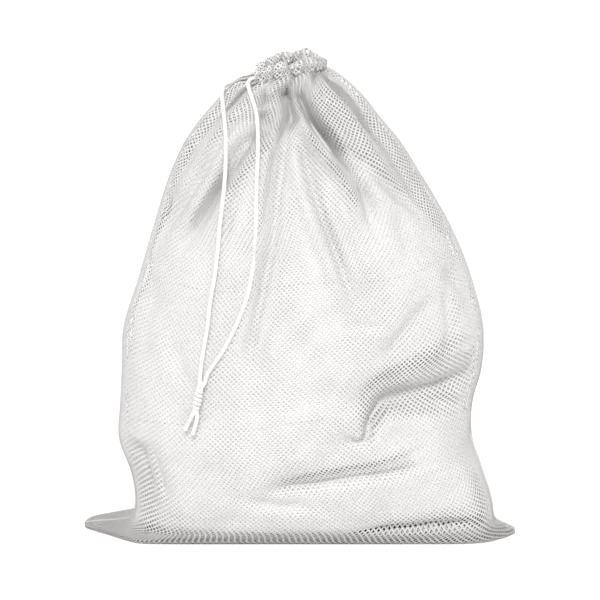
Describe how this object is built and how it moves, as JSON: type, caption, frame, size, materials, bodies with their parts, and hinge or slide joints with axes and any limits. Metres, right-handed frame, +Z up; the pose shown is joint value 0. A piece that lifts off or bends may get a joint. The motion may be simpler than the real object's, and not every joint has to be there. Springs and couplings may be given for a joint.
{
  "type": "mesh laundry bag",
  "caption": "Filled drawstring laundry bag of open mesh, gathered shut at the top, with sewn panels, a knotted drawcord and flat bottom corners.",
  "frame": {"origin": "on the floor under the middle of the bag", "axes": "+Z up, -Y out of the front, where the drawcord hangs, +X to the right seen from the front"},
  "size_m": [0.609, 0.2404, 0.6907],
  "materials": {
    "mesh": "matt knitted polyester mesh",
    "seam": "matt overlocked seam",
    "cord": "matt braided cord",
    "laundry": "soft cotton"
  },
  "bodies": {
    "bag": {"front_panel": "mesh", "back_panel": "mesh", "left_side_seam": "seam", "right_side_seam": "seam", "bottom_seam": "seam", "drawcord_casing": "mesh", "drawcord_in_casing": "cord", "laundry_bottom": "laundry", "laundry_middle": "laundry", "laundry_top": "laundry"},
    "drawcord": {"drawcord_left_run": "cord", "drawcord_right_run": "cord", "drawcord_knot": "cord"},
    "tails": {"drawcord_left_tail": "cord", "drawcord_right_tail": "cord"}
  },
  "joints": [
    {"name": "drawcord_lift", "type": "hinge", "parent": "bag", "child": "drawcord", "pos_m": [-0.09025, -0.02, 0.6415], "axis": [-0.8776, 0.1441, -0.4573], "range_deg": [0, 70]},
    {"name": "tails_swing", "type": "hinge", "parent": "drawcord", "child": "tails", "pos_m": [-0.1465, -0.1152, 0.2], "axis": [-1, 0, 0], "range_deg": [0, 45]}
  ]
}
